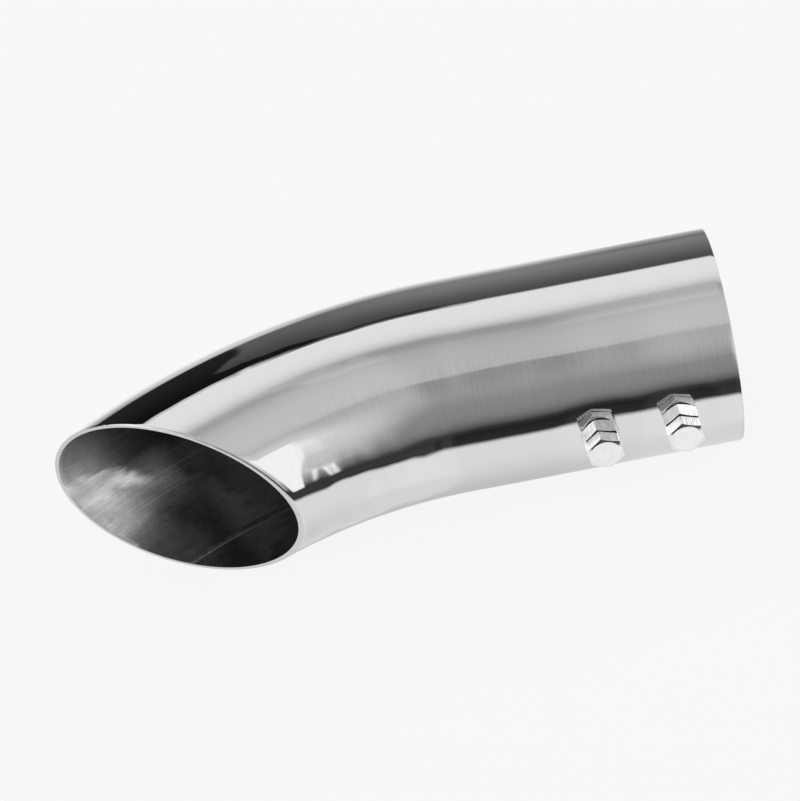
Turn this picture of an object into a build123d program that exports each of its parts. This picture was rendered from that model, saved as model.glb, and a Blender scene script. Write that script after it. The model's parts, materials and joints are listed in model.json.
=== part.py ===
from build123d import *
import math
import os

# Slip-on exhaust tip: a bent stainless tube with a slash-cut mouth, held on the tailpipe by
# two clamp bolts in nuts welded to its side. It lies on its side, bend plane level: +X leaves
# the inlet, +Z is up, and the tube bends towards -Y. The origin is the inlet's centre.

# Tube
tube_diameter = 63.5
tube_wall = 1.2
inlet_straight = 80.0
bend_radius = 175.0
rim_break = 0.2

# Slash cut: where it crosses the tube's centre line, and its tilt from a square cut
mouth_reach = 170.6
slash_tilt = 34.0

# Clamp fasteners: stations from the inlet's edge, and their turn about the tube from the bend plane
station_near_inlet = 18.4
station_near_bend = 41.75
clamp_angle = 6.6

# M6 hexagon hardware
hex_across_flats = 10.0
nut_height = 5.0
head_height = 4.0
thread_diameter = 5.9
chamfer_share = 0.95
chamfer_slope = 30.0
thread_clearance = 0.05
hole_clearance = 0.35
washer_face_height = 0.3
head_gap = 0.3
thread_point = 0.6

# Projection weld under each nut
weld_collar_diameter = 8.6
weld_standoff = 0.3
weld_fit = 0.02

# Turn of each hexagon about its bolt, a corner measured from straight up towards the inlet
nut_turn_near_inlet = -7.0
head_turn_near_inlet = -9.0
nut_turn_near_bend = -14.8
head_turn_near_bend = -10.0

os.makedirs("parts", exist_ok=True)

tube_radius = tube_diameter / 2
bore_radius = tube_radius - tube_wall
thread_radius = thread_diameter / 2
hex_corner_radius = hex_across_flats / math.sqrt(3)
chamfer_radius = chamfer_share * hex_across_flats / 2
chamfer_drop = (hex_corner_radius - chamfer_radius) * math.tan(math.radians(chamfer_slope))

# Each clamp fastener: its name, its station along the tube, and the turns of its nut and head
fasteners = [
    ("near_inlet", station_near_inlet, nut_turn_near_inlet, head_turn_near_inlet),
    ("near_bend", station_near_bend, nut_turn_near_bend, head_turn_near_bend),
]
clamp_lean = math.radians(clamp_angle)
outward = Vector(0, -math.cos(clamp_lean), math.sin(clamp_lean))


def clamp_plane(station, height=0.0):
    """Plane square to a bolt, at a height over the tube's skin, with x along the tube."""
    centre = outward * (tube_radius + height)
    return Plane(origin=(-station, centre.Y, centre.Z), x_dir=(1, 0, 0), z_dir=outward)


def profile_plane(station, height=0.0):
    """Plane through a bolt's axis, with x along the tube and y out along the bolt."""
    base = clamp_plane(station, height)
    return Plane(origin=base.origin, x_dir=base.x_dir, z_dir=-base.y_dir)


# Tube: a straight inlet and a bend of the same ring section, cut at a slant across the bend
mouth_turn = (mouth_reach - inlet_straight) / bend_radius
bend_turn = math.degrees(mouth_turn + tube_diameter / bend_radius)
bend_axis = Axis((-inlet_straight, -bend_radius, 0), (0, 0, 1))
with BuildPart() as tip_tube:
    with BuildSketch(Plane.YZ) as inlet_section:
        Circle(tube_radius)
        Circle(bore_radius, mode=Mode.SUBTRACT)
    extrude(amount=-inlet_straight)
    # A round ellipse makes the bend mesh with a quarter of the facets that a circle gives
    with BuildSketch(Plane.YZ.offset(-inlet_straight)) as bend_section:
        Ellipse(tube_radius, tube_radius)
        Ellipse(bore_radius, bore_radius, mode=Mode.SUBTRACT)
    revolve(axis=bend_axis, revolution_arc=bend_turn)
    mouth_centre = (
        -inlet_straight - bend_radius * math.sin(mouth_turn),
        -bend_radius * (1 - math.cos(mouth_turn)),
        0,
    )
    mouth_angle = mouth_turn + math.radians(slash_tilt)
    slash_plane = Plane(mouth_centre, z_dir=(-math.cos(mouth_angle), -math.sin(mouth_angle), 0))
    split(bisect_by=slash_plane, keep=Keep.BOTTOM)
    inlet_face = tip_tube.faces().sort_by(Axis.X)[-1]
    chamfer(inlet_face.edges(), rim_break)
    for name, station, nut_turn, head_turn in fasteners:
        with BuildSketch(clamp_plane(station)) as bolt_hole:
            Circle(thread_radius + hole_clearance)
        extrude(amount=-tube_radius, mode=Mode.SUBTRACT)
tip_tube.part.label = "tip_tube"
export_step(tip_tube.part, "parts/tip_tube.step")

for name, station, nut_turn, head_turn in fasteners:
    # Weld nut: a double-chamfered hexagon on a fused collar that follows the tube's skin
    with BuildPart() as weld_nut:
        with BuildSketch(clamp_plane(station, weld_standoff)) as nut_outline:
            RegularPolygon(hex_corner_radius, 6, rotation=90 - nut_turn)
        extrude(amount=nut_height)
        with BuildSketch(profile_plane(station, weld_standoff)) as nut_profile:
            Polygon(
                (0, 0),
                (chamfer_radius, 0),
                (hex_corner_radius, chamfer_drop),
                (hex_corner_radius, nut_height - chamfer_drop),
                (chamfer_radius, nut_height),
                (0, nut_height),
                align=None,
            )
        bolt_axis = Axis(clamp_plane(station).origin, outward)
        revolve(axis=bolt_axis, mode=Mode.INTERSECT)
        with BuildSketch(clamp_plane(station, weld_standoff)) as collar_outline:
            Circle(weld_collar_diameter / 2)
        extrude(amount=-tube_wall - weld_standoff)
        with BuildSketch(Plane.YZ) as skin_outline:
            Circle(tube_radius + weld_fit)
        extrude(amount=-inlet_straight, mode=Mode.SUBTRACT)
        with BuildSketch(clamp_plane(station, weld_standoff + nut_height)) as thread_outline:
            Circle(thread_radius + thread_clearance)
        extrude(amount=-nut_height - weld_standoff - tube_wall, mode=Mode.SUBTRACT)
    weld_nut.part.label = f"weld_nut_{name}"
    export_step(weld_nut.part, f"parts/weld_nut_{name}.step")

    # Clamp bolt: run home, with its thread ending level with the tube's bore
    head_base = weld_standoff + nut_height + head_gap
    with BuildPart() as clamp_bolt:
        with BuildSketch(clamp_plane(station, head_base + washer_face_height)) as head_outline:
            RegularPolygon(hex_corner_radius, 6, rotation=90 - head_turn)
        extrude(amount=head_height - washer_face_height)
        with BuildSketch(profile_plane(station, head_base)) as head_profile:
            Polygon(
                (0, 0),
                (hex_corner_radius, 0),
                (hex_corner_radius, head_height - chamfer_drop),
                (chamfer_radius, head_height),
                (0, head_height),
                align=None,
            )
        bolt_axis = Axis(clamp_plane(station).origin, outward)
        revolve(axis=bolt_axis, mode=Mode.INTERSECT)
        with BuildSketch(clamp_plane(station, head_base)) as washer_outline:
            Circle(chamfer_radius)
        extrude(amount=washer_face_height)
        with BuildSketch(clamp_plane(station, head_base)) as thread_outline:
            Circle(thread_radius)
        extrude(amount=-head_base - tube_wall)
        tip_edge = clamp_bolt.edges().filter_by(GeomType.CIRCLE).sort_by(bolt_axis)[0]
        chamfer(tip_edge, thread_point)
    clamp_bolt.part.label = f"clamp_bolt_{name}"
    export_step(clamp_bolt.part, f"parts/clamp_bolt_{name}.step")
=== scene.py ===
import json
import math

import bmesh
import bpy
from mathutils import Matrix, Quaternion, Vector


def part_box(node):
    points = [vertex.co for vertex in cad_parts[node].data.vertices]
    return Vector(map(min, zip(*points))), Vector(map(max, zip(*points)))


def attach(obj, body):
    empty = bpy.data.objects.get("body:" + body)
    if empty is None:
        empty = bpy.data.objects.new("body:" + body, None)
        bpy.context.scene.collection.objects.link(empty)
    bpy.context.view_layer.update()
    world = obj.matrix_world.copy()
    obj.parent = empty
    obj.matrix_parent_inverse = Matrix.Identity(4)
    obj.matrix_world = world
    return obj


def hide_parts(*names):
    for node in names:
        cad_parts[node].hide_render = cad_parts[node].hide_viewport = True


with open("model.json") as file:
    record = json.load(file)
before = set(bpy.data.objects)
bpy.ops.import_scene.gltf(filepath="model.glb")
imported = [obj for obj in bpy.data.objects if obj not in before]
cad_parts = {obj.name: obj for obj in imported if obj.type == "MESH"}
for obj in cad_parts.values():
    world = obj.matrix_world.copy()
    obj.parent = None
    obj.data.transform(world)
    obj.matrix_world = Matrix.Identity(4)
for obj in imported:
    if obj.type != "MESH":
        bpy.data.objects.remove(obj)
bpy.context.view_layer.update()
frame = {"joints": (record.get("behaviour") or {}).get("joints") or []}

# Tube: one length of seam-welded stainless steel tube, bent on a former, cut square at the inlet
# and sawn at a slant across the bend for the mouth. The outside is mirror-polished round the tube,
# the bore keeps its dull mill finish, and both cut rims are bright.
tube_radius = 0.03175
bore_radius = 0.03055
inlet_straight = 0.080
bend_radius = 0.175
bend_length = 0.0906
mouth_turn = bend_length / bend_radius
slash_tilt = math.radians(34.0)
tube_segments = 240
straight_rings = 60
bend_rings = 78
mouth_roll = 0.0005
inlet_break = 0.0002
bore_break = 0.00012
bolt_hole_radius = 0.0033
bolt_hole_segments = 48
drill_length = 0.008
tube_crease = math.radians(20)
on_skin, on_bore, on_rim = range(3)


def slash_turn(radius, clock):
    """Turn at which a line along the tube, at a radius and a clock angle, meets the cut."""
    line_radius = bend_radius - radius * math.cos(clock)
    return mouth_turn + slash_tilt - math.asin(bend_radius * math.sin(slash_tilt) / line_radius)


def tube_point(radius, clock, share):
    """Point of a tube wall. The clock turns from the bend's inside to the top, and the share
    runs from the inlet to the mouth."""
    ring = share * (straight_rings + bend_rings)
    line_radius = bend_radius - radius * math.cos(clock)
    height = radius * math.sin(clock)
    if ring <= straight_rings:
        along = inlet_straight * ring / straight_rings
        return Vector((-along, line_radius - bend_radius, height))
    turn = slash_turn(radius, clock) * (ring - straight_rings) / bend_rings
    return Vector((
        -inlet_straight - line_radius * math.sin(turn),
        line_radius * math.cos(turn) - bend_radius,
        height,
    ))


def bend_wall(bm, radius, segments, face_finish):
    """Straight open tube of many rings, laid along the bend and stretched to end on the cut."""
    before = set(bm.faces)
    cone = bmesh.ops.create_cone(
        bm, cap_ends=False, segments=segments, radius1=1, radius2=1, depth=1
    )
    lengthwise = {e for v in cone["verts"] for e in v.link_edges if len(e.link_faces) == 2}
    bmesh.ops.subdivide_edges(bm, edges=list(lengthwise), cuts=straight_rings + bend_rings - 1)
    wall = [f for f in bm.faces if f not in before]
    for face in wall:
        face.material_index = face_finish
    for vert in {v for f in wall for v in f.verts}:
        vert.co = tube_point(radius, math.atan2(vert.co.y, vert.co.x), vert.co.z + 0.5)
    return wall


def mark_creases(bm, crease):
    """Smooth shading over the whole mesh, with every edge sharper than the crease kept crisp."""
    for face in bm.faces:
        face.smooth = True
    for edge in bm.edges:
        edge.smooth = edge.calc_face_angle(0.0) < crease


def add_piece(name, bm, *finishes):
    """A new object at the origin from a bmesh, with its finishes in order."""
    mesh = bpy.data.meshes.new(name)
    bm.to_mesh(mesh)
    bm.free()
    for finish in finishes:
        mesh.materials.append(finish)
    piece = bpy.data.objects.new(name, mesh)
    bpy.context.scene.collection.objects.link(piece)
    return piece


def feed(tree, node, **sources):
    """Sockets of a shader node by name, each fed by a value or an output."""
    for name, source in sources.items():
        socket = node.inputs[name.replace("_", " ")]
        if isinstance(source, bpy.types.NodeSocket):
            tree.links.new(source, socket)
        else:
            socket.default_value = source


def add_node(tree, kind, settings=None, **sources):
    """A shader node with its own switches set and its sockets fed."""
    made = tree.nodes.new("ShaderNode" + kind)
    for switch, value in (settings or {}).items():
        setattr(made, switch, value)
    feed(tree, made, **sources)
    return made


def new_metal(name):
    """An empty metal finish: its node tree and its shader."""
    finish = bpy.data.materials.new(name)
    finish.use_nodes = True
    tree = finish.node_tree
    tree.nodes.clear()
    shader = add_node(tree, "BsdfPrincipled", Metallic=1.0)
    output = add_node(tree, "OutputMaterial")
    tree.links.new(shader.outputs["BSDF"], output.inputs["Surface"])
    return finish, tree, shader


def grain(tree, vector, scale, detail=3.0, roughness=0.55):
    """Noise stretched by a scale for each axis, as a value from about 0.25 to 0.75."""
    mapping = add_node(tree, "Mapping", Vector=vector, Scale=scale)
    noise = add_node(
        tree, "TexNoise", Vector=mapping.outputs["Vector"],
        Scale=1.0, Detail=detail, Roughness=roughness,
    )
    return noise.outputs[0]


def spread(tree, value, low, high, start=0.3, end=0.7):
    """A value from start to end spread over low to high."""
    return add_node(
        tree, "MapRange", Value=value, From_Min=start, From_Max=end, To_Min=low, To_Max=high
    ).outputs[0]


def tint(tree, value, dark, light):
    """A grey between two levels, by a value from 0 to 1."""
    mix = add_node(tree, "Mix", {"data_type": "RGBA"})
    tree.links.new(value, mix.inputs[0])
    mix.inputs[6].default_value = (dark, dark, dark, 1)
    mix.inputs[7].default_value = (light, light, light, 1)
    return mix.outputs[2]


def reckon(tree, operation, first, second=0.0):
    """One step of arithmetic on two feeds, each a value or an output."""
    step = add_node(tree, "Math", {"operation": operation})
    for socket, source in zip(step.inputs, (first, second)):
        if isinstance(source, bpy.types.NodeSocket):
            tree.links.new(source, socket)
        else:
            socket.default_value = source
    return step.outputs[0]


def window(tree, value, start, full):
    """0 before start, 1 past full, with a soft step between."""
    step = add_node(
        tree, "MapRange", {"interpolation_type": "SMOOTHSTEP"}, Value=value,
        From_Min=start, From_Max=full, To_Min=0.0, To_Max=1.0,
    )
    return step.outputs[0]


def times(tree, *sources):
    """The product of several feeds, each a value or an output."""
    product = sources[0]
    for source in sources[1:]:
        product = reckon(tree, "MULTIPLY", product, source)
    return product


def between(tree, value, rise, fall):
    """1 between two soft steps, each given from its start to its end, and 0 outside them."""
    return times(tree, window(tree, value, *rise), window(tree, value, *reversed(fall)))


def dim(tree, level, where, share):
    """A level lowered by a share inside a patch."""
    return times(tree, level, reckon(tree, "SUBTRACT", 1.0, times(tree, where, share)))


def lift(tree, level, where, amount):
    """A level raised by an amount inside a patch."""
    return reckon(tree, "ADD", level, times(tree, where, amount))


def measure(tree, operation, place, mark):
    """One number from a place and a fixed vector, such as the distance between them."""
    step = add_node(tree, "VectorMath", {"operation": operation})
    tree.links.new(place, step.inputs[0])
    step.inputs[1].default_value = mark
    return step.outputs["Value"]


def emboss(tree, height, depth, under=None, sunk=False):
    """Relief of a depth by a height from 0 to 1, raised or sunk, laid over another relief."""
    bump = add_node(tree, "Bump", {"invert": sunk}, Height=height, Strength=1.0, Distance=depth)
    if under is not None:
        feed(tree, bump, Normal=under)
    return bump.outputs[0]


# Where the clamp fasteners stand: out along each bolt's joint, at its nut's station
clamp_axes = {j["child"]: Vector(j["axis"]).normalized() for j in frame["joints"]}
nut_stations = {}
for name in ("near_inlet", "near_bend"):
    nut_low, nut_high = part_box("weld_nut_" + name)
    nut_stations[name] = (nut_low.x + nut_high.x) / 2


def clamp_frame(name):
    """Frame of a clamp fastener: x to the inlet, z out along the bolt, zero on the tube's skin."""
    outward = clamp_axes["bolt_" + name]
    towards_inlet = Vector((1, 0, 0))
    turned = Matrix((towards_inlet, outward.cross(towards_inlet), outward)).transposed().to_4x4()
    seat = outward * tube_radius + Vector((nut_stations[name], 0, 0))
    return Matrix.Translation(seat) @ turned


# The polish runs round the tube, so its lines are fine along the tube and long round it. They show
# most on the flanks, where the belt made its last pass
polished_skin, tree, shader = new_metal("polished_skin")
skin = add_node(tree, "Attribute", {"attribute_name": "skin"}).outputs["Vector"]
place = add_node(tree, "TexCoord").outputs["Object"]
along, inward, upward = add_node(tree, "SeparateXYZ", Vector=skin).outputs
polish_lines = grain(tree, skin, (1300, 3.0, 3.0), detail=4.0, roughness=0.6)
polish_patches = grain(tree, skin, (45, 1.6, 1.6), detail=2.0)
flank = times(
    tree, between(tree, upward, (0.20, 0.45), (0.80, 0.93)),
    spread(tree, along, 1.0, 0.3, start=0.09, end=0.15),
)
belt = times(tree, flank, spread(tree, polish_patches, 0.4, 1.0))
belt_lines = times(tree, reckon(tree, "SUBTRACT", polish_lines, 0.5), belt)
skin_roughness = reckon(
    tree, "ADD", spread(tree, polish_lines, 0.0, 0.02), spread(tree, polish_patches, 0.02, 0.045)
)
feed(
    tree, shader, Roughness=skin_roughness,
    Base_Color=tint(tree, spread(tree, belt_lines, 0, 1, start=-0.2, end=0.2), 0.655, 0.745),
)

# The skin is a little wavy all over, with low wrinkles on the inside of the bend and ripples along
# its top. Beside the mouth the belt has let it fall away on the inside of the bend, and the welds
# pull it in round the nuts
wave_depth = 0.00055
wrinkle_depth = 0.0005
ripple_depth = 0.00015
fall_width = 0.0020
fall_depth = 0.00014
weld_pull_start = 0.014
weld_pull_full = 0.0045
weld_pull_depth = 0.00012
belt_depth = 0.000007

waves = times(
    tree, grain(tree, place, (34, 34, 34), detail=0.0),
    spread(tree, inward, 0.2, 1.0, start=0.0, end=0.7),
)
relief = emboss(tree, waves, wave_depth)
puckered = times(
    tree, window(tree, inward, 0.78, 0.96), between(tree, along, (0.06, 0.11), (0.127, 0.139))
)
wrinkles = times(tree, grain(tree, skin, (75, 2.2, 2.2), detail=1.0), puckered)
relief = emboss(tree, wrinkles, wrinkle_depth, relief)
ridge = times(tree, window(tree, upward, 0.90, 0.98), window(tree, along, 0.04, 0.09))
ripples = times(tree, grain(tree, skin, (70, 1.5, 1.5), detail=1.0), ridge)
relief = emboss(tree, ripples, ripple_depth, relief)

cut_turn = mouth_turn + slash_tilt
cut_normal = Vector((-math.cos(cut_turn), -math.sin(cut_turn), 0))
mouth_centre = Vector((
    -inlet_straight - bend_radius * math.sin(mouth_turn),
    -bend_radius * (1 - math.cos(mouth_turn)),
    0,
))
cut_reach = mouth_centre.dot(cut_normal)
towards_cut = measure(tree, "DOT_PRODUCT", place, cut_normal)
fall = spread(tree, towards_cut, 0.0, 1.0, start=cut_reach - fall_width, end=cut_reach)
fall = times(tree, reckon(tree, "POWER", fall, 2.0), window(tree, inward, 0.45, 0.75))
relief = emboss(tree, fall, fall_depth, relief, sunk=True)

for name in nut_stations:
    from_weld = measure(tree, "DISTANCE", place, clamp_frame(name).translation)
    pull = window(tree, from_weld, weld_pull_start, weld_pull_full)
    relief = emboss(tree, pull, weld_pull_depth, relief, sunk=True)
feed(tree, shader, Normal=emboss(tree, belt_lines, belt_depth, relief))

# The bore keeps the tube mill's dull film, mottled, with drawing marks and scratches along the
# tube. Behind the mouth's lower lip two patches of painted reflection lighten the film, and past a
# slanting line above them three patches of painted shade darken it
# Slant and wander of the line that bounds the patches, and the shares and amounts of the painted
# shade and painted reflections
patch_line_climb = 22.2
patch_line_wander = (4.17, 4.33)
far_shade_share = 0.45
low_shade_share = 0.55
deep_shade_share = 0.5
painted_reflection_amount = 0.42
lip_reflection_amount = 0.30
scratch_amount = 0.10
deep_roughness = 0.2
draw_depth = 0.000012

mill_bore, tree, shader = new_metal("mill_bore")
skin = add_node(tree, "Attribute", {"attribute_name": "skin"}).outputs["Vector"]
place = add_node(tree, "TexCoord").outputs["Object"]
along, _, upward = add_node(tree, "SeparateXYZ", Vector=skin).outputs
mottle = grain(tree, place, (420, 420, 420), detail=1.5)
clouds = grain(tree, skin, (70, 6.0, 6.0), detail=4.0, roughness=0.6)
draw_marks = grain(tree, skin, (25, 110, 110), detail=3.0, roughness=0.6)
scratches = window(tree, grain(tree, skin, (22, 95, 95), detail=1.0), 0.64, 0.72)
past_line = reckon(tree, "SUBTRACT", upward, times(tree, along, patch_line_climb))
past_line = reckon(tree, "ADD", past_line, spread(tree, clouds, *patch_line_wander))
# Painted shade: three darker patches of the film past the slanting line
far_painted_shade = times(tree, window(tree, past_line, -0.02, 0.20), window(tree, along, 0.183, 0.171))
low_painted_shade = times(
    tree, between(tree, along, (0.150, 0.157), (0.166, 0.178)),
    window(tree, past_line, -0.45, -0.25),
)
deep_painted_shade = times(
    tree, between(tree, along, (0.143, 0.150), (0.156, 0.163)),
    window(tree, past_line, 0.02, 0.16),
)
# Painted reflection: two brighter patches behind the mouth's lower lip
painted_reflection = times(
    tree, between(tree, past_line, (-0.12, 0.02), (0.03, 0.13)),
    between(tree, along, (0.164, 0.171), (0.180, 0.186)),
)
lip_painted_reflection = times(
    tree, between(tree, past_line, (-0.36, -0.18), (-0.08, 0.02)),
    window(tree, along, 0.174, 0.181),
)
film = times(tree, spread(tree, mottle, 0.33, 0.41), spread(tree, draw_marks, 0.87, 1.13))
# The film is dimmed where shade is painted, then lifted where reflections are painted and along the
# real scratches
for where, share in ((far_painted_shade, far_shade_share), (low_painted_shade, low_shade_share), (deep_painted_shade, deep_shade_share)):
    film = dim(tree, film, where, share)
for where, amount in ((painted_reflection, painted_reflection_amount), (lip_painted_reflection, lip_reflection_amount), (scratches, scratch_amount)):
    film = lift(tree, film, where, amount)
deep = window(tree, along, 0.158, 0.135)
feed(
    tree, shader, Base_Color=film, Metallic=0.9,
    Roughness=lift(tree, spread(tree, clouds, 0.24, 0.33), deep, deep_roughness),
    Normal=emboss(tree, draw_marks, draw_depth),
)

# The saw leaves fine lines across both rims
cut_rim, tree, shader = new_metal("cut_rim")
place = add_node(tree, "TexCoord").outputs["Object"]
saw_lines = grain(tree, place, (400, 400, 3000), detail=2.0)
feed(
    tree, shader, Base_Color=tint(tree, spread(tree, saw_lines, 0, 1), 0.65, 0.73),
    Roughness=spread(tree, saw_lines, 0.25, 0.4),
)

bm = bmesh.new()
bend_wall(bm, tube_radius, tube_segments, on_skin)
skin_rims = [e for e in bm.edges if e.is_boundary]
bore_wall = bend_wall(bm, bore_radius, tube_segments, on_bore)
bmesh.ops.reverse_faces(bm, faces=bore_wall)
bore_rims = [e for e in bm.edges if e.is_boundary and e not in skin_rims]


def at_inlet(edge):
    """True on the inlet's rim, False on the mouth's."""
    return edge.verts[0].co.x > -inlet_straight / 2


for inlet in (True, False):
    rims = [e for e in skin_rims + bore_rims if at_inlet(e) == inlet]
    for face in bmesh.ops.bridge_loops(bm, edges=rims)["faces"]:
        face.material_index = on_rim
bmesh.ops.recalc_face_normals(bm, faces=bm.faces)
# The polisher rolled the mouth's outer edge over. The other edges are only broken
for edges, offset, segments in (
    ([e for e in skin_rims if not at_inlet(e)], mouth_roll, 5),
    ([e for e in skin_rims if at_inlet(e)], inlet_break, 3),
    (bore_rims, bore_break, 2),
):
    bmesh.ops.bevel(
        bm, geom=edges, offset=offset, offset_type="OFFSET", affect="EDGES",
        segments=segments, profile=0.5, material=-1,
    )
tube = add_piece("tube", bm, polished_skin, mill_bore, cut_rim)

# A hole for each clamp bolt is drilled square to the skin, under its nut
bm = bmesh.new()
for name in nut_stations:
    bmesh.ops.create_cone(
        bm, cap_ends=True, segments=bolt_hole_segments, radius1=bolt_hole_radius,
        radius2=bolt_hole_radius, depth=drill_length, matrix=clamp_frame(name),
    )
for face in bm.faces:
    face.material_index = on_rim
drill = add_piece("drill", bm, polished_skin, mill_bore, cut_rim)
drilling = tube.modifiers.new("drilling", "BOOLEAN")
drilling.operation = "DIFFERENCE"
drilling.object = drill
tube_drilled = bpy.data.meshes.new_from_object(
    tube.evaluated_get(bpy.context.evaluated_depsgraph_get())
)
tube.modifiers.clear()
bpy.data.objects.remove(drill)
bm = bmesh.new()
bm.from_mesh(tube_drilled)
mark_creases(bm, tube_crease)
bm.to_mesh(tube.data)
bm.free()


def lay_skin(piece):
    """Place on the tube's wall for each point: its length along the tube, and its clock angle's
    cosine and sine, which are its shares inward and upward."""
    laid = piece.data.attributes.new("skin", "FLOAT_VECTOR", "POINT")
    for point, spot in zip(piece.data.vertices, laid.data):
        x, y, z = point.co
        across, along = -y, -x
        if -x > inlet_straight:
            turn = math.atan2(-x - inlet_straight, bend_radius + y)
            across = bend_radius - math.hypot(-x - inlet_straight, bend_radius + y)
            along = inlet_straight + bend_radius * turn
        reach = math.hypot(across, z)
        spot.vector = (along, across / reach, z / reach)


lay_skin(tube)
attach(tube, "tip")
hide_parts("tip_tube")

# Seam: the low weld bead that the tube mill leaves along the bore, here at the underside.
# It is the tube's own steel, rolled nearly flat.
seam_clock = math.radians(-91.4)
seam_half_width = 0.0010
seam_height = 0.00016
seam_inset = 0.003
seam_segments = 16
seam_crease = math.radians(50)
bead_depth = 0.00004

bead_steel, tree, shader = new_metal("bead_steel")
place = add_node(tree, "TexCoord").outputs["Object"]
ripples = grain(tree, place, (700, 300, 300), detail=2.0)
feed(
    tree, shader, Base_Color=tint(tree, spread(tree, ripples, 0, 1), 0.34, 0.48),
    Roughness=spread(tree, ripples, 0.32, 0.45), Normal=emboss(tree, ripples, bead_depth),
)

bm = bmesh.new()
bead = bmesh.ops.create_cone(
    bm, cap_ends=True, segments=seam_segments, radius1=1, radius2=1, depth=1
)
lengthwise = {
    e for v in bead["verts"] for e in v.link_edges
    if abs(e.verts[0].co.z - e.verts[1].co.z) > 0.5
}
bmesh.ops.subdivide_edges(bm, edges=list(lengthwise), cuts=straight_rings + bend_rings - 1)
for vert in bm.verts:
    clock = seam_clock + vert.co.x * seam_half_width / bore_radius
    share = seam_inset + (1 - 2 * seam_inset) * (vert.co.z + 0.5)
    vert.co = tube_point(bore_radius + vert.co.y * seam_height, clock, share)
bmesh.ops.recalc_face_normals(bm, faces=bm.faces)
mark_creases(bm, seam_crease)
seam = add_piece("seam", bm, bead_steel)
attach(seam, "tip")

# Weld nuts: two M6 hexagon nuts in bright stainless steel, chamfered on both faces. Each stands on
# the collar of a projection weld that follows the tube's skin, over its drilled hole.
across_flats = 0.010
chamfer_radius = 0.00475
face_radius = 0.00445
foot_chamfer = math.tan(math.radians(30))
face_chamfer = math.tan(math.radians(17))
hexagon_segments = 96
weld_standoff = 0.0003
nut_height = 0.005
nut_bore_radius = 0.0030
countersink = 0.0003
collar_radius = 0.0043
collar_foot = 0.0002
edge_break = 0.00006
break_angle = math.radians(18)
hexagon_crease = math.radians(16)
facing_out = 0.8
line_depth = 0.00003
on_face, in_shaded_joint = 1, 2
nut_turns = {"near_inlet": math.radians(-7.0), "near_bend": math.radians(-14.8)}

nut_steel, tree, shader = new_metal("nut_steel")
place = add_node(tree, "TexCoord").outputs["Object"]
draw_lines = grain(tree, place, (2000, 110, 2000), detail=2.0)
handling = grain(tree, place, (260, 260, 260), detail=3.0)
feed(
    tree, shader, Base_Color=tint(tree, spread(tree, draw_lines, 0, 1), 0.62, 0.92),
    Roughness=spread(tree, handling, 0.05, 0.11), Normal=emboss(tree, draw_lines, line_depth),
)

# The faces of nuts and heads are turned smooth
turned_face, tree, shader = new_metal("turned_face")
place = add_node(tree, "TexCoord").outputs["Object"]
handling = grain(tree, place, (420, 420, 420), detail=3.0)
feed(
    tree, shader, Base_Color=tint(tree, spread(tree, handling, 0, 1), 0.78, 0.88),
    Roughness=spread(tree, handling, 0.10, 0.20), Normal=emboss(tree, handling, line_depth),
)

# Grease, weld scale and painted shade darken the joints between tube, nut and head
joint_grime_and_shade, tree, shader = new_metal("joint_grime_and_shade")
place = add_node(tree, "TexCoord").outputs["Object"]
crust = grain(tree, place, (900, 900, 900), detail=2.0)
feed(
    tree, shader, Base_Color=tint(tree, spread(tree, crust, 0, 1), 0.03, 0.09),
    Roughness=spread(tree, crust, 0.45, 0.6),
)


def finish_faces(bm, joints):
    """The turned finish on every face that looks out along the bolt, and grime with painted shade
    in its joints, each of which is a low height, a high height and a reach."""
    for face in bm.faces:
        if face.normal.z > facing_out:
            face.material_index = on_face
        centre = face.calc_center_median()
        for low, high, reach in joints:
            if low <= centre.z <= high and math.hypot(centre.x, centre.y) < reach:
                face.material_index = in_shaded_joint


def hexagon_reach(angle, corner):
    """Distance from a hexagon's centre to its side, at an angle, with a corner at a given angle."""
    from_flat = (angle - corner) % (math.pi / 3) - math.pi / 6
    return across_flats / 2 / math.cos(from_flat)


def turn_rings(bm, corner, rings):
    """Rings round a bolt's axis, each extruded from the last. A ring is a function of angle to
    reach and height. The first ring's and the last ring's edges are returned."""
    start = bmesh.ops.create_circle(
        bm, cap_ends=False, segments=hexagon_segments, radius=1,
        matrix=Matrix.Rotation(corner, 4, "Z"),
    )
    verts = start["verts"]
    first = edges = list({e for v in verts for e in v.link_edges})
    for count, ring in enumerate(rings):
        if count:
            grown = bmesh.ops.extrude_edge_only(bm, edges=edges)["geom"]
            verts = [g for g in grown if isinstance(g, bmesh.types.BMVert)]
            edges = [
                g for g in grown
                if isinstance(g, bmesh.types.BMEdge) and all(v in verts for v in g.verts)
            ]
        for vert in verts:
            angle = math.atan2(vert.co.y, vert.co.x)
            reach, height = ring(angle)
            vert.co = (reach * math.cos(angle), reach * math.sin(angle), height)
    return first, edges


def plain_ring(reach, height):
    """A round ring at one height."""
    return lambda angle: (reach, height)


def skin_ring(reach):
    """A round ring whose height follows the tube's skin."""
    def ring(angle):
        return reach, math.sqrt(tube_radius**2 - (reach * math.sin(angle))**2) - tube_radius
    return ring


def side_ring(corner, face_radius, face_height, slope):
    """A hexagon's outline where a face's chamfer, of a slope, meets the sides."""
    def ring(angle):
        reach = hexagon_reach(angle, corner)
        return reach, face_height + (reach - face_radius) * slope
    return ring


def break_edges(bm):
    """A small bevel on every edge that is sharper than the angle at which edges are broken."""
    crisp = [e for e in bm.edges if e.calc_face_angle(0.0) > break_angle]
    bmesh.ops.bevel(
        bm, geom=crisp, offset=edge_break, offset_type="OFFSET", affect="EDGES",
        segments=2, profile=0.5, material=-1, clamp_overlap=True,
    )


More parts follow.
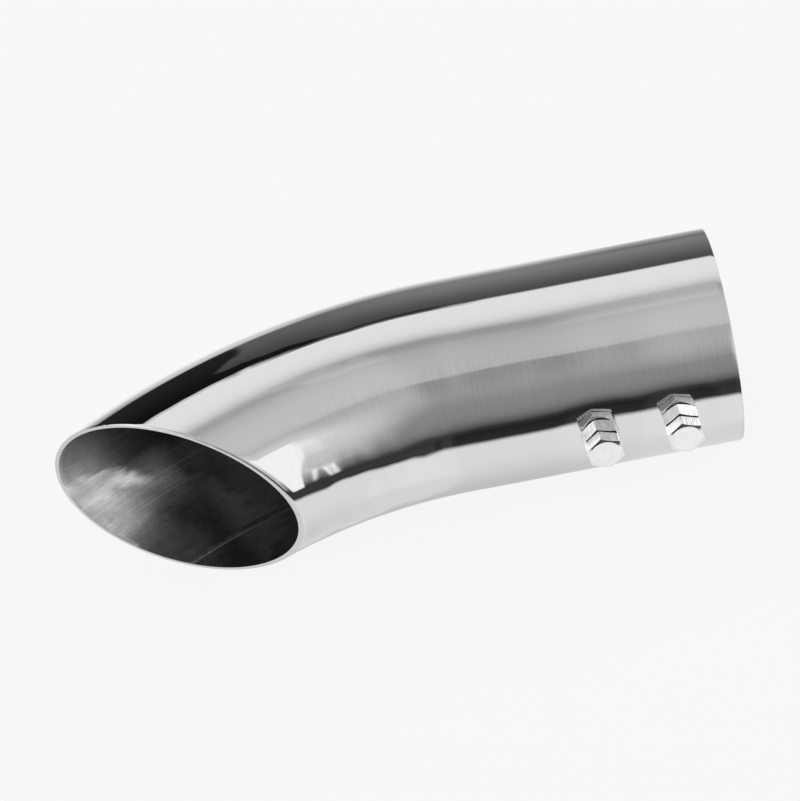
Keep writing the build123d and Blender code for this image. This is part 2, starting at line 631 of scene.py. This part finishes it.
for name, turn in nut_turns.items():
    corner = math.pi / 2 - turn
    nut_top = weld_standoff + nut_height
    bm = bmesh.new()
    foot, mouth = turn_rings(bm, corner, [
        skin_ring(nut_bore_radius),
        skin_ring(collar_radius + collar_foot),
        plain_ring(collar_radius, collar_foot),
        plain_ring(collar_radius, weld_standoff),
        plain_ring(chamfer_radius, weld_standoff),
        side_ring(corner, chamfer_radius, weld_standoff, foot_chamfer),
        side_ring(corner, face_radius, nut_top, -face_chamfer),
        plain_ring(face_radius, nut_top),
        plain_ring(nut_bore_radius + countersink, nut_top),
        plain_ring(nut_bore_radius, nut_top - countersink),
    ])
    bmesh.ops.bridge_loops(bm, edges=foot + mouth)
    bmesh.ops.recalc_face_normals(bm, faces=bm.faces)
    break_edges(bm)
    # Grime and painted shade under the nut's foot and on its top face under the head
    finish_faces(bm, [
        (-tube_radius, weld_standoff + edge_break, chamfer_radius - edge_break),
        (nut_top - edge_break / 2, nut_top, face_radius),
    ])
    mark_creases(bm, hexagon_crease)
    bmesh.ops.transform(bm, matrix=clamp_frame(name), verts=bm.verts)
    nut = add_piece("nut_" + name, bm, nut_steel, turned_face, joint_grime_and_shade)
    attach(nut, "tip")
    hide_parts("weld_nut_" + name)

# Clamp bolts: two M6 hexagon bolts in bright stainless steel with a rolled thread, run home in the
# nuts. They press on the tailpipe inside and back out when they are undone.
head_gap = 0.0003
head_height = 0.004
washer_face = 0.0003
thread_radius = 0.00295
thread_root = 0.00236
thread_pitch = 0.001
thread_point = 0.0006
thread_end = -0.0012
thread_steps = 60
merge_distance = 0.000002
cut_tolerance = 0.0000001
head_turns = {"near_inlet": math.radians(-9.0), "near_bend": math.radians(-10.0)}

bolt_steel, tree, shader = new_metal("bolt_steel")
place = add_node(tree, "TexCoord").outputs["Object"]
draw_lines = grain(tree, place, (1900, 110, 1900), detail=2.0)
handling = grain(tree, place, (300, 300, 300), detail=4.0)
feed(
    tree, shader, Base_Color=tint(tree, spread(tree, draw_lines, 0, 1), 0.68, 0.92),
    Roughness=spread(tree, handling, 0.05, 0.11), Normal=emboss(tree, draw_lines, line_depth),
)


def cut_thread(bm, low, high):
    """A threaded shank between two heights: one pitch of the thread's outline, spun up a helix."""
    outline = [
        (thread_root, 0.0), (thread_root, 0.16), (thread_radius, 0.50), (thread_radius, 0.66),
        (thread_root, 1.0),
    ]
    start = low - 2 * thread_pitch
    turns = math.ceil((high - start) / thread_pitch) + 1
    verts = [bm.verts.new((reach, 0, start + rise * thread_pitch)) for reach, rise in outline]
    edges = [bm.edges.new(pair) for pair in zip(verts, verts[1:])]
    bmesh.ops.spin(
        bm, geom=verts + edges, cent=(0, 0, 0), axis=(0, 0, 1),
        dvec=(0, 0, thread_pitch / thread_steps), angle=math.tau * turns,
        steps=thread_steps * turns, use_merge=False, use_duplicate=False,
    )
    bmesh.ops.remove_doubles(bm, verts=bm.verts, dist=merge_distance)
    for height, side in ((low, -1), (high, 1)):
        cut = bmesh.ops.bisect_plane(
            bm, geom=bm.verts[:] + bm.edges[:] + bm.faces[:], dist=cut_tolerance,
            plane_co=(0, 0, height), plane_no=(0, 0, side), clear_outer=True,
        )
        end_edges = [g for g in cut["geom_cut"] if isinstance(g, bmesh.types.BMEdge)]
        bmesh.ops.contextual_create(bm, geom=end_edges)
    for vert in bm.verts:
        reach = math.hypot(vert.co.x, vert.co.y)
        limit = thread_radius - thread_point + (vert.co.z - low)
        if reach > limit:
            vert.co.x *= limit / reach
            vert.co.y *= limit / reach


for name, turn in head_turns.items():
    corner = math.pi / 2 - turn
    head_base = weld_standoff + nut_height + head_gap
    head_top = head_base + head_height
    side_base = head_base + washer_face
    bm = bmesh.new()
    under, crown = turn_rings(bm, corner, [
        plain_ring(chamfer_radius, head_base),
        plain_ring(chamfer_radius, side_base),
        lambda angle: (hexagon_reach(angle, corner), side_base),
        side_ring(corner, face_radius, head_top, -face_chamfer),
        plain_ring(face_radius, head_top),
    ])
    bmesh.ops.contextual_create(bm, geom=under)
    bmesh.ops.contextual_create(bm, geom=crown)
    bmesh.ops.recalc_face_normals(bm, faces=bm.faces)
    break_edges(bm)
    # Grime and painted shade on the head's underside, over the nut
    finish_faces(bm, [(head_base, side_base + edge_break / 2, across_flats)])
    shank = bmesh.new()
    cut_thread(shank, thread_end, side_base)
    bmesh.ops.recalc_face_normals(shank, faces=shank.faces)
    shank_mesh = bpy.data.meshes.new("shank")
    shank.to_mesh(shank_mesh)
    shank.free()
    bm.from_mesh(shank_mesh)
    bpy.data.meshes.remove(shank_mesh)
    mark_creases(bm, hexagon_crease)
    bmesh.ops.transform(bm, matrix=clamp_frame(name), verts=bm.verts)
    bolt = add_piece("bolt_" + name, bm, bolt_steel, turned_face, joint_grime_and_shade)
    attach(bolt, "bolt_" + name)
    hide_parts("clamp_bolt_" + name)

# Floor: a plain pale table that the tip lies on. The polish mirrors the studio below, not this
# sheet, so that the sheet can run on past the picture.
floor_half = 3.0
floor_centre = -0.1
floor_white = 0.871
floor_grey = 0.08

floor_paint = bpy.data.materials.new("floor_paint")
floor_paint.use_nodes = True
tree = floor_paint.node_tree
tree.nodes.clear()
matt = add_node(tree, "BsdfDiffuse", Color=(floor_grey, floor_grey, floor_grey, 1))
glow = add_node(tree, "Emission", Color=(1, 1, 1, 1), Strength=floor_white)
both = add_node(tree, "AddShader")
tree.links.new(matt.outputs[0], both.inputs[0])
tree.links.new(glow.outputs[0], both.inputs[1])
add_node(tree, "OutputMaterial", Surface=both.outputs[0])

bm = bmesh.new()
bmesh.ops.create_grid(
    bm, x_segments=1, y_segments=1, size=floor_half,
    matrix=Matrix.Translation((floor_centre, 0, -tube_radius)),
)
floor = add_piece("floor", bm, floor_paint)
floor.visible_glossy = False

# Studio light: what the polish mirrors, as levels of light by angle round the tube, from straight
# down in front over the top to straight down behind. Soft-edged patches by angle and by lean
# towards the inlet then dim or lift it. The levels are fitted to the bands in the photograph.
studio_bands = [
    # The pale table in front, and its dark edge
    (-90, 0.97), (-23, 0.97), (-18.7, 0.035), (-7, 0.022), (-3, 0.045),
    # The grey front wall
    (2, 0.17), (8, 0.27), (14, 0.315), (26, 0.345), (38, 0.51), (46, 0.575), (58, 0.575),
    # The pale ceiling, with a dim joint
    (60.5, 0.69), (66, 0.73), (82, 0.71), (92, 0.63), (98, 0.51), (101, 0.485), (104, 0.54),
    # The long softbox overhead
    (110, 0.84), (116, 1.0), (124, 1.05), (139.5, 1.05),
    # The dark back wall
    (141.5, 0.085), (152, 0.13), (164, 0.20), (176, 0.26), (189, 0.275),
    # The pale table behind
    (194, 0.42), (200, 0.62), (210, 0.95), (270, 0.97),
]
first_angle = -90
full_lap = 360
wall_dip = 2.5
surround_white = 0.94

studio = bpy.data.worlds.new("studio")
bpy.context.scene.world = studio
studio.use_nodes = True
tree = studio.node_tree
tree.nodes.clear()

# The lap is the angle counted from the first band. Towards the inlet the front wall's bands dip
direction = add_node(tree, "SeparateXYZ", Vector=add_node(tree, "TexCoord").outputs["Generated"])
lean = reckon(tree, "DEGREES", reckon(tree, "ARCSINE", direction.outputs["X"]))
front = times(tree, direction.outputs["Y"], -1.0)
angle = reckon(tree, "DEGREES", reckon(tree, "ARCTAN2", direction.outputs["Z"], front))
lap = reckon(tree, "SUBTRACT", angle, first_angle)
lap = reckon(tree, "FLOORED_MODULO", lap, full_lap)
dip = times(tree, window(tree, lean, 6, 18), window(tree, lap, 118, 96))
dipped = lift(tree, lap, dip, wall_dip)
bands = add_node(tree, "ValToRGB", Fac=reckon(tree, "DIVIDE", dipped, full_lap))
ramp = bands.color_ramp
while len(ramp.elements) < len(studio_bands):
    ramp.elements.new(0.5)
for stop, (degrees, brightness) in zip(ramp.elements, studio_bands):
    stop.position = (degrees - first_angle) / full_lap
    stop.color = (brightness, brightness, brightness, 1)


def span(value, low, high, edge):
    """1 between two limits with soft edges, 0 outside them."""
    return between(tree, value, (low - edge, low + edge), (high - edge, high + edge))


def patch(leans, lean_edge, angles, angle_edge):
    """1 inside a soft-edged patch of the studio, by its leans and its angles, 0 outside it."""
    low, high = (limit - first_angle for limit in angles)
    return times(tree, span(lean, *leans, lean_edge), span(lap, low, high, angle_edge))


# Behind, the wall falls off towards the mouth, where a black drape hangs, and white sheets hang at
# both ends. The table below it has a shadow and a glow
back_wall_end = patch((-60, -3), 6, (141, 191), 1)
drape_edge = reckon(tree, "SUBTRACT", lean, times(tree, window(tree, lap, 248, 232), 6.0))
drape = times(tree, window(tree, drape_edge, -8.4, -9.0), patch((-31, 5), 1, (141, 191), 1))
back_shadow = patch((3.5, 14), 1.5, (187, 214), 5)
back_glow = patch((-12.5, -5.5), 1.5, (191, 202), 3)
back_sheet_by_mouth = patch((-60, -33), 2, (170, 196), 1.5)
back_sheet_by_inlet = patch((29.9, 60), 0.5, (141, 196), 1)

# The camera's stand dims the front wall, and its head dims the ceiling, which is lighter along its
# joint. The softbox's back edge has a notch and a lug
stand = times(
    tree, between(tree, lean, (-1.0, 2.4), (2.7, 6.2)),
    between(tree, lap, (112, 142), (147.5, 150.5)),
)
stand_head = patch((0, 4), 2, (60, 105), 3)
ceiling_joint = patch((3.4, 7), 0.6, (91, 104), 2)
softbox_notch = patch((-3.9, 1.4), 0.4, (138.0, 143), 0.5)
softbox_lug = patch((-9, -4.7), 0.3, (140.6, 142.4), 0.6)

# In front, white sheets hang at both ends, and a second softbox stands beyond the inlet and lights
# the wall beside it, with a small lamp below
front_sheet_by_mouth = patch((-60, -39.4), 0.3, (-14, 104), 4)
front_sheet_hem = patch((-38.9, -33), 0.3, (-14, 104), 4)
front_sheet_by_inlet = patch((30.5, 60), 1.5, (46, 104), 2)
front_edge = reckon(tree, "SUBTRACT", reckon(tree, "MINIMUM", lap, 118.0), 112.0)
front_edge = lift(tree, lean, front_edge, 0.55)
front_box = times(
    tree, window(tree, front_edge, 6.0, 24.0), between(tree, lap, (90, 100), (118, 148))
)
wall_light_high = patch((20, 60), 4, (36, 57), 5)
wall_light_low = patch((21, 60), 4, (-5, 12), 3)
wall_light_foot = patch((24, 60), 2, (-8, 5), 2)
lamp = patch((23.5, 25.0), 0.5, (-6, 8), 3)
lamp_light = patch((22, 25), 0.8, (27, 44), 3)

# Below, the table darkens towards its underside, less so past the nuts, and its edge is a little
# lighter beyond the inlet
under_lap = reckon(tree, "FLOORED_MODULO", reckon(tree, "ADD", lap, 180.0), full_lap)
underside = between(tree, under_lap, (140, 152), (150, 232))
underside = dim(tree, underside, between(tree, lean, (2.2, 4.4), (6, 18)), 0.6)
table_glow = patch((4.5, 14), 2.5, (-60, -24), 4)
edge_glow = patch((5.2, 60), 0.7, (-19, -4), 2)

# A white sheet leans in front beyond the inlet, with a slanting edge and one corner folded over
sheet_slant = reckon(tree, "MAXIMUM", reckon(tree, "SUBTRACT", lap, 102.0), -6.0)
sheet_edge = lift(tree, lean, sheet_slant, 0.12)
sheet_fold = lift(tree, lean, reckon(tree, "SUBTRACT", lap, 138.0), 0.25)
sheet_corner = times(tree, window(tree, sheet_fold, 27.8, 28.6), window(tree, lap, 122, 126))
sheet = times(tree, window(tree, sheet_edge, 27.2, 28.0), patch((15, 60), 1, (-10.3, 47.3), 1.2))
sheet = dim(tree, sheet, sheet_corner, 1.0)

light = bands.outputs["Color"]
for change, where, amount in (
    (dim, back_wall_end, 0.50),
    (dim, drape, 0.85),
    (dim, stand, 0.36),
    (dim, stand_head, 0.14),
    (dim, softbox_notch, 0.85),
    (lift, softbox_lug, 0.7),
    (lift, ceiling_joint, 0.10),
    (dim, back_shadow, 0.35),
    (lift, back_glow, 0.22),
    (lift, back_sheet_by_mouth, 0.95),
    (lift, back_sheet_by_inlet, 0.95),
    (lift, front_sheet_by_mouth, 1.30),
    (lift, front_sheet_hem, 0.55),
    (lift, front_sheet_by_inlet, 1.20),
    (lift, front_box, 0.42),
    (lift, wall_light_high, 0.18),
    (lift, wall_light_low, 0.12),
    (lift, wall_light_foot, 0.08),
    (dim, underside, 0.36),
    (lift, table_glow, 0.06),
    (lift, edge_glow, 0.025),
    (lift, lamp, 0.7),
    (lift, lamp_light, 0.12),
    (dim, sheet, 1.0),
    (lift, sheet, 1.26),
):
    light = change(tree, light, where, amount)

# The camera itself sees only a plain pale surround
surround = add_node(
    tree, "Background", Color=(surround_white, surround_white, surround_white, 1), Strength=1.0
)
mirrored = add_node(tree, "Background", Color=(1, 1, 1, 1), Strength=light)
seen = add_node(tree, "MixShader", Fac=add_node(tree, "LightPath").outputs["Is Camera Ray"])
tree.links.new(mirrored.outputs[0], seen.inputs[1])
tree.links.new(surround.outputs[0], seen.inputs[2])
add_node(tree, "OutputWorld", Surface=seen.outputs[0])

# Camera: a long lens at the photograph's viewing angle, high over the inside of the bend and
# leaning a little to one side.
view_aim = Vector((-0.09656, -0.00124, -0.00072))
view_distance = 0.88524
view_azimuth = math.radians(0.264)
view_elevation = math.radians(48.057)
view_roll = math.radians(11.04)

lens = bpy.data.cameras.new("camera")
lens.lens = 135.0
lens.sensor_width = 36.0
lens.clip_start = 0.05
lens.clip_end = 20.0
camera = bpy.data.objects.new("camera", lens)
bpy.context.scene.collection.objects.link(camera)
back = Vector((
    math.sin(view_azimuth) * math.cos(view_elevation),
    -math.cos(view_azimuth) * math.cos(view_elevation),
    math.sin(view_elevation),
))
camera.location = view_aim + back * view_distance
camera.rotation_mode = "QUATERNION"
camera.rotation_quaternion = (-back).to_track_quat("-Z", "Y") @ Quaternion((0, 0, 1), -view_roll)
bpy.context.scene.camera = camera
bpy.context.scene.view_settings.view_transform = "Standard"
